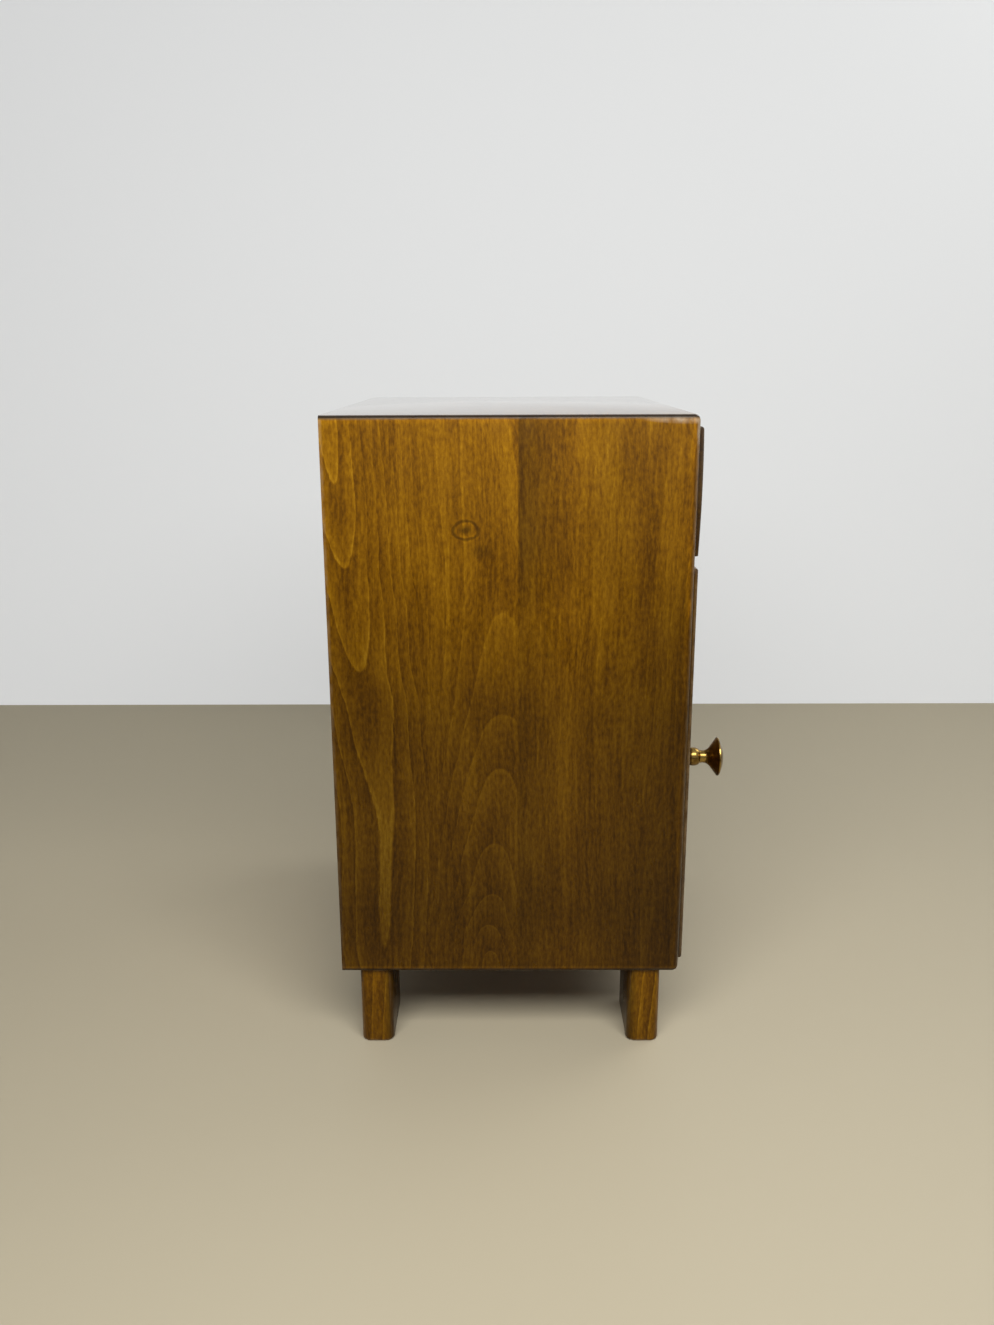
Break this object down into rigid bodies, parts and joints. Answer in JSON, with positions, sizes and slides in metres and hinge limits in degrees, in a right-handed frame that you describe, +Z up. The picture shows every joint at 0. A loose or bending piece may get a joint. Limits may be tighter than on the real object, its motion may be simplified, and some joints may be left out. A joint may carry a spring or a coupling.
{
  "type": "nightstand",
  "caption": "Small wooden bedside cabinet on block feet: a drawer with a bulged front over a cupboard door with a turned brass knob.",
  "frame": {"origin": "on the floor under the middle of the cabinet's box, knob included", "axes": "+Z up; -Y is the front with drawer and door; +X to the right as seen from the front, where the door's hinges are"},
  "size_m": [0.4, 0.3398, 0.56],
  "materials": {
    "stained_beech": "brown stain under satin lacquer",
    "raw_beech": "planed, thin clear lacquer",
    "plywood": "sanded beech plywood",
    "brass": "polished, slightly aged",
    "steel": "zinc plated",
    "cream_plastic": "moulded",
    "ferrite": "sintered, matt"
  },
  "bodies": {
    "cabinet": {"side_left": "stained_beech", "side_right": "stained_beech", "top_panel": "stained_beech", "bottom_panel": "stained_beech", "corner_tongues": "plywood", "divider": "stained_beech", "back_panel": "plywood", "back_screws": "steel", "shelf": "stained_beech", "shelf_pegs": "brass", "runner_left": "raw_beech", "runner_right": "raw_beech", "runner_screws": "steel", "leg_front_left": "stained_beech", "leg_front_right": "stained_beech", "leg_rear_left": "stained_beech", "leg_rear_right": "stained_beech", "leg_dowels": "raw_beech", "hinge_top_frame_leaf": "brass", "hinge_top_pin": "brass", "hinge_bottom_frame_leaf": "brass", "hinge_bottom_pin": "brass", "hinge_frame_screws": "steel", "catch_case": "cream_plastic", "catch_magnet": "ferrite", "catch_plates": "steel", "catch_screws": "steel"},
    "drawer": {"drawer_front": "stained_beech", "drawer_side_left": "raw_beech", "drawer_side_right": "raw_beech", "drawer_back": "raw_beech", "drawer_bottom": "plywood", "drawer_bottom_screws": "steel"},
    "door": {"door_panel": "stained_beech", "door_knob": "brass", "knob_screw": "steel", "hinge_top_door_leaf": "brass", "hinge_bottom_door_leaf": "brass", "hinge_door_screws": "steel", "strike_plate": "steel", "strike_screw": "steel"}
  },
  "joints": [
    {"name": "drawer_slide", "type": "slide", "parent": "cabinet", "child": "drawer", "axis": [0, -1, 0], "range_m": [0, 0.2]},
    {"name": "door_swing", "type": "hinge", "parent": "cabinet", "child": "door", "pos_m": [0.1933, -0.13165, 0.259], "axis": [0, 0, 1], "range_deg": [0, 150]}
  ]
}
